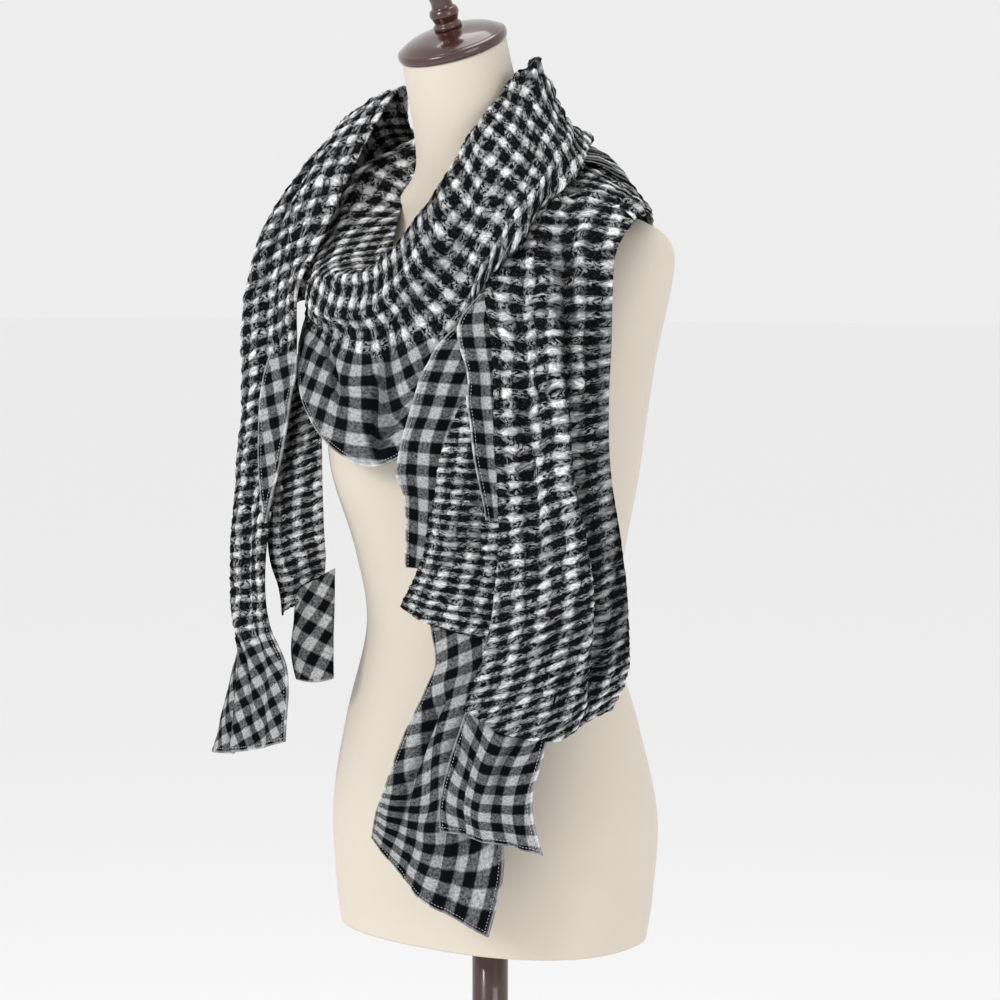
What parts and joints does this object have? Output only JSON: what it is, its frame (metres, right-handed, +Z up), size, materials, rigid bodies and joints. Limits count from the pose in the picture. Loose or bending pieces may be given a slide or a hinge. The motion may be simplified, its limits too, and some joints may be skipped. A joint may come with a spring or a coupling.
{
  "type": "square scarf on a dress form",
  "caption": "Checked square scarf with puckered middle and flat border, wound once round the neck of a limbless dress form, as a shop or studio displays it.",
  "frame": {"origin": "middle of the underside of the foot, on the surface that the form stands on", "axes": "+Z up the pole, -Y the way the form faces, +X its left"},
  "size_m": [0.4381, 0.33, 1.6312],
  "materials": {
    "puckered_check": "matt cotton in a black and white check, shrunk into puffy puckers by elastic threads",
    "flat_check": "matt plain-weave cotton in a black and white check",
    "jersey": "fine cream jersey stretched smooth over the form",
    "dark_wood": "turned wood, stained dark red-brown and lacquered glossy"
  },
  "bodies": {
    "root": {"form_torso": "jersey", "stand_foot": "dark_wood", "stand_pole": "dark_wood", "neck_cap": "dark_wood", "finial": "dark_wood", "cowl": "puckered_check", "back_and_right_fall": "puckered_check", "right_inner_fall": "puckered_check", "right_inner_border": "flat_check", "right_border_fold": "flat_check", "left_outer_fall": "puckered_check", "left_outer_border": "flat_check", "left_inner_fall": "puckered_check", "left_under_fall": "flat_check", "left_edge_band": "flat_check", "left_neck_band": "flat_check", "shoulder_tuck": "puckered_check"}
  },
  "joints": []
}
